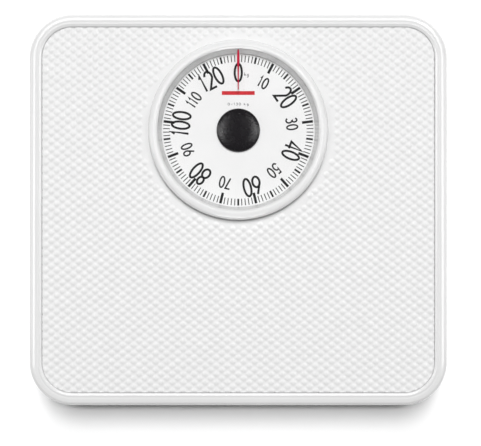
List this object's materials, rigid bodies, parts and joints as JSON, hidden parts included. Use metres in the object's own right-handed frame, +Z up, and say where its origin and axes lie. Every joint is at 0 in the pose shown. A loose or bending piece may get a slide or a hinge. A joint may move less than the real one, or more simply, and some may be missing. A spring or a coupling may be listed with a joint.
{
  "type": "mechanical dial bathroom scale",
  "caption": "Low white platform scale: a pebbled-mat platform on pin-pivoted levers turns a round dial through a calibrating plate, bell crank and rack.",
  "frame": {"origin": "on the floor, under the middle of the platform", "axes": "+X to the user's right, +Y to the rear where the dial is, +Z up"},
  "size_m": [0.28, 0.262, 0.0525],
  "materials": {
    "platform_enamel": "glossy white stove enamel on pressed steel",
    "base_enamel": "satin white enamel on pressed steel",
    "mat": "white vinyl moulded with rows of small raised pebbles",
    "bezel": "glossy white moulded plastic",
    "lens": "clear, polished",
    "pointer": "crimson, semi-gloss",
    "dial_face": "satin white, printed black scale and numerals",
    "hub_cap": "high-gloss black",
    "black_nylon": "moulded nylon, satin",
    "brass": "machined, bright",
    "foot_rubber": "moulded, matte",
    "bracket_steel": "zinc-plated pressed strip, satin",
    "pin_steel": "ground and hardened, semi-bright",
    "lever_steel": "zinc-plated plate, satin, sheared edges",
    "spring_wire": "drawn spring wire, semi-bright"
  },
  "bodies": {
    "base": {"base_tray": "base_enamel", "foot_front_left": "foot_rubber", "foot_front_right": "foot_rubber", "foot_rear_left": "foot_rubber", "foot_rear_right": "foot_rubber", "fulcrum_bracket_front_left": "bracket_steel", "fulcrum_bracket_front_right": "bracket_steel", "fulcrum_bracket_rear_left": "bracket_steel", "fulcrum_bracket_rear_right": "bracket_steel", "adjuster_bracket": "bracket_steel", "bridge_plate": "bracket_steel", "bridge_front_leg": "bracket_steel", "crank_bracket": "bracket_steel", "crank_pin": "pin_steel", "rack_guide": "brass", "dial_bush": "brass"},
    "platform": {"platform_shell": "platform_enamel", "mat": "mat", "load_bracket_front_left": "bracket_steel", "load_bracket_front_right": "bracket_steel", "load_bracket_rear_left": "bracket_steel", "load_bracket_rear_right": "bracket_steel", "bezel_ring": "bezel", "bezel_retainer": "black_nylon", "lens": "lens", "pointer": "pointer", "hold_down_spring_left": "spring_wire", "hold_down_spring_right": "spring_wire"},
    "long_lever": {"long_lever_arm_left": "lever_steel", "long_lever_arm_right": "lever_steel", "long_lever_tie_bar": "lever_steel", "fulcrum_pin_front_left": "pin_steel", "fulcrum_pin_front_right": "pin_steel", "load_pin_front_left": "pin_steel", "load_pin_front_right": "pin_steel"},
    "short_lever_left": {"short_lever_arm_left": "lever_steel", "fulcrum_pin_rear_left": "pin_steel", "load_pin_rear_left": "pin_steel"},
    "short_lever_right": {"short_lever_arm_right": "lever_steel", "fulcrum_pin_rear_right": "pin_steel", "load_pin_rear_right": "pin_steel"},
    "calibrating_plate": {"calibrating_plate": "lever_steel", "main_spring_left": "spring_wire", "main_spring_right": "spring_wire"},
    "bell_crank": {"bell_crank": "lever_steel"},
    "rack": {"rack": "lever_steel", "rack_spring": "spring_wire"},
    "dial": {"dial_disc": "dial_face", "hub_cap": "hub_cap", "dial_hub": "black_nylon", "pinion_shaft": "brass"},
    "spring_hanger": {"spring_hanger": "bracket_steel"},
    "zero_wheel": {"zero_wheel": "black_nylon", "adjusting_screw": "pin_steel"}
  },
  "joints": [
    {"name": "platform_press", "type": "slide", "parent": "base", "child": "platform", "axis": [0, 0, -1], "range_m": [0, 0.000738], "deforming": ["hold_down_spring_left", "hold_down_spring_right"]},
    {"name": "long_lever_tilt", "type": "hinge", "parent": "base", "child": "long_lever", "pos_m": [0, -0.112, 0.0155], "axis": [-1, 0, 0], "range_deg": [0, 2.65]},
    {"name": "short_lever_left_tilt", "type": "hinge", "parent": "base", "child": "short_lever_left", "pos_m": [-0.098, 0.112, 0.0155], "axis": [1, 0, 0], "range_deg": [0, 2.65]},
    {"name": "short_lever_right_tilt", "type": "hinge", "parent": "base", "child": "short_lever_right", "pos_m": [0.098, 0.112, 0.0155], "axis": [1, 0, 0], "range_deg": [0, 2.65]},
    {"name": "calibrating_plate_drop", "type": "slide", "parent": "base", "child": "calibrating_plate", "axis": [0, 0, -1], "range_m": [0, 0.01001], "deforming": ["main_spring_left", "main_spring_right"]},
    {"name": "crank_turn", "type": "hinge", "parent": "base", "child": "bell_crank", "pos_m": [0, 0.09, 0.0145], "axis": [1, 0, 0], "range_deg": [-41.88, 0]},
    {"name": "rack_slide", "type": "slide", "parent": "base", "child": "rack", "axis": [0, 1, 0], "range_m": [0, 0.01572], "deforming": ["rack_spring"]},
    {"name": "dial_spin", "type": "hinge", "parent": "base", "child": "dial", "pos_m": [0, 0.0532, 0.0427], "axis": [0, 0, 1], "range_deg": [0, 360.36], "stiffness_Nm_per_rad": 0.0238, "springref_deg": -5.16},
    {"name": "hanger_lift", "type": "slide", "parent": "base", "child": "spring_hanger", "axis": [0, 0, 1], "range_m": [-0.0004, 0.0004]},
    {"name": "zero_wheel_turn", "type": "hinge", "parent": "base", "child": "zero_wheel", "pos_m": [0, 0.1172, 0.0115], "axis": [0, 0, 1], "range_deg": [-180.18, 180.18]}
  ],
  "couplings": [
    {"joint": "long_lever_tilt", "follows": "platform_press", "rad_per_m": 62.5},
    {"joint": "short_lever_left_tilt", "follows": "platform_press", "rad_per_m": 62.5},
    {"joint": "short_lever_right_tilt", "follows": "platform_press", "rad_per_m": 62.5},
    {"joint": "calibrating_plate_drop", "follows": "platform_press", "ratio": 13.55},
    {"joint": "crank_turn", "follows": "platform_press", "rad_per_m": -989.5},
    {"joint": "rack_slide", "follows": "platform_press", "ratio": 21.285},
    {"joint": "dial_spin", "follows": "platform_press", "rad_per_m": 8513.8},
    {"joint": "zero_wheel_turn", "follows": "hanger_lift", "rad_per_m": 7854}
  ]
}
